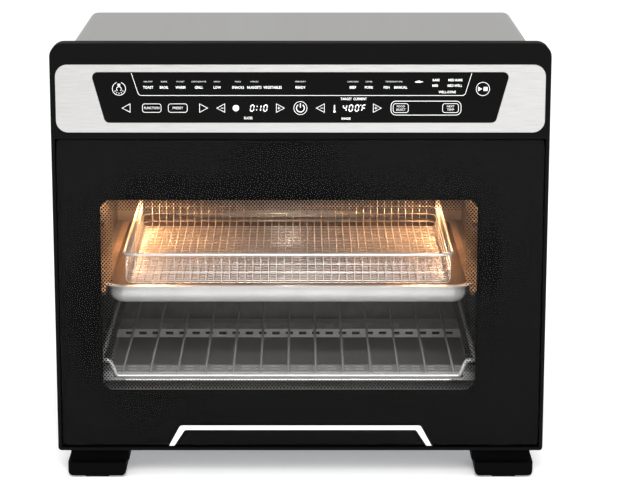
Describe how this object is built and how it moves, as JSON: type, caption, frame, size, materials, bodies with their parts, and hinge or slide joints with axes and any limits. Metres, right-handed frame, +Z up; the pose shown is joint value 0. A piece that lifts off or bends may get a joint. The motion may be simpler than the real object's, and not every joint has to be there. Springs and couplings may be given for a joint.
{
  "type": "toaster oven",
  "caption": "Counter-top toaster oven with touch panel, drop-down glass door, wire rack, baking tray and air-fry basket.",
  "frame": {"origin": "on the worktop, below the middle of the oven's overall box", "axes": "+X to the oven's right seen from the front, +Y from the door to the back, +Z up"},
  "size_m": [0.432, 0.398, 0.391],
  "materials": {
    "frame_plastic": "satin black moulded plastic",
    "black_plastic": "fine-grained black plastic",
    "brushed_steel": "brushed stainless steel",
    "cavity_steel": "aluminised sheet steel",
    "zinc_steel": "zinc-plated sheet steel",
    "printed_glass": "tempered glass, black print with a clear window",
    "clear_glass": "clear tempered glass",
    "display_lens": "gloss black printed lens",
    "circuit_board": "green solder mask",
    "white_plastic": "white plastic",
    "chrome_wire": "bright chrome-plated wire",
    "tray_metal": "light satin tray metal",
    "heater_tube": "heat-darkened stainless tube",
    "ceramic": "unglazed ceramic",
    "rubber": "matte black rubber",
    "bright_trim": "bright metal strip",
    "iron_core": "varnished lamination stack",
    "fan_metal": "pressed aluminium"
  },
  "bodies": {
    "oven": {"front_frame": "frame_plastic", "control_fascia": "brushed_steel", "display_lens": "display_lens", "control_board": "circuit_board", "led_displays": "white_plastic", "touch_springs": "zinc_steel", "casing_wrap": "brushed_steel", "rear_panel": "black_plastic", "rear_spacers": "black_plastic", "base_pan": "zinc_steel", "feet": "black_plastic", "foot_pads": "rubber", "cavity_left_wall": "cavity_steel", "cavity_right_wall": "cavity_steel", "cavity_floor": "cavity_steel", "cavity_ceiling": "cavity_steel", "cavity_front_plate": "cavity_steel", "cavity_rear_wall": "cavity_steel", "element_guards": "cavity_steel", "lower_heaters": "heater_tube", "upper_heaters": "heater_tube", "heater_insulators": "ceramic", "fan_housing": "cavity_steel", "fan_guard": "cavity_steel", "motor_bracket": "zinc_steel", "motor_stator": "iron_core", "motor_cap": "zinc_steel", "hinge_brackets": "zinc_steel", "heat_shield": "zinc_steel", "board_standoffs": "white_plastic", "power_board": "circuit_board", "relays": "white_plastic", "transformer": "iron_core", "lamp_glass": "clear_glass", "lamp_bulb": "clear_glass", "lamp_holder": "ceramic", "temperature_probe": "zinc_steel", "thermal_cutoff": "ceramic", "terminal_block": "white_plastic", "cord_gland": "black_plastic", "interlock_switch": "black_plastic", "rear_panel_screws": "zinc_steel"},
    "door": {"door_outer_glass": "printed_glass", "door_frame": "frame_plastic", "door_inner_glass": "clear_glass", "inner_glass_clips": "zinc_steel", "clip_screws": "zinc_steel", "door_trim": "bright_trim", "hinge_pins": "zinc_steel"},
    "rack": {"wire_rack": "chrome_wire"},
    "tray": {"baking_tray": "tray_metal"},
    "basket": {"basket_rim_wire": "chrome_wire", "basket_mesh": "chrome_wire", "basket_runners": "chrome_wire"},
    "crumb": {"crumb_tray": "tray_metal"},
    "fan": {"motor_shaft": "zinc_steel", "motor_rotor": "iron_core", "convection_fan_blade": "fan_metal", "cooling_fan_blade": "fan_metal"},
    "plunger": {"interlock_plunger": "white_plastic"}
  },
  "joints": [
    {"name": "door_hinge", "type": "hinge", "parent": "oven", "child": "door", "pos_m": [0, -0.1905, 0.04], "axis": [1, 0, 0], "range_deg": [0, 90]},
    {"name": "rack_slide", "type": "slide", "parent": "oven", "child": "rack", "axis": [0, -1, 0], "range_m": [0, 0.108]},
    {"name": "tray_slide", "type": "slide", "parent": "oven", "child": "tray", "axis": [0, -1, 0], "range_m": [0, 0.181]},
    {"name": "basket_lift", "type": "slide", "parent": "tray", "child": "basket", "axis": [0, 0, 1], "range_m": [0, 0.03]},
    {"name": "crumb_tray_slide", "type": "slide", "parent": "oven", "child": "crumb", "axis": [0, -1, 0], "range_m": [0, 0.021]},
    {"name": "fan_spin", "type": "hinge", "parent": "oven", "child": "fan", "pos_m": [-0.011, -0.0185, 0.33], "axis": [0, 0, 1], "continuous": true},
    {"name": "switch_plunger", "type": "slide", "parent": "oven", "child": "plunger", "axis": [0, -1, 0], "range_m": [0, 0.0031]}
  ],
  "couplings": [
    {"joint": "rack_slide", "follows": "door_hinge", "m_per_rad": 0.068},
    {"joint": "tray_slide", "follows": "door_hinge", "m_per_rad": 0.1146},
    {"joint": "crumb_tray_slide", "follows": "door_hinge", "m_per_rad": 0.0133},
    {"joint": "switch_plunger", "follows": "door_hinge", "m_per_rad": 0.00191}
  ]
}
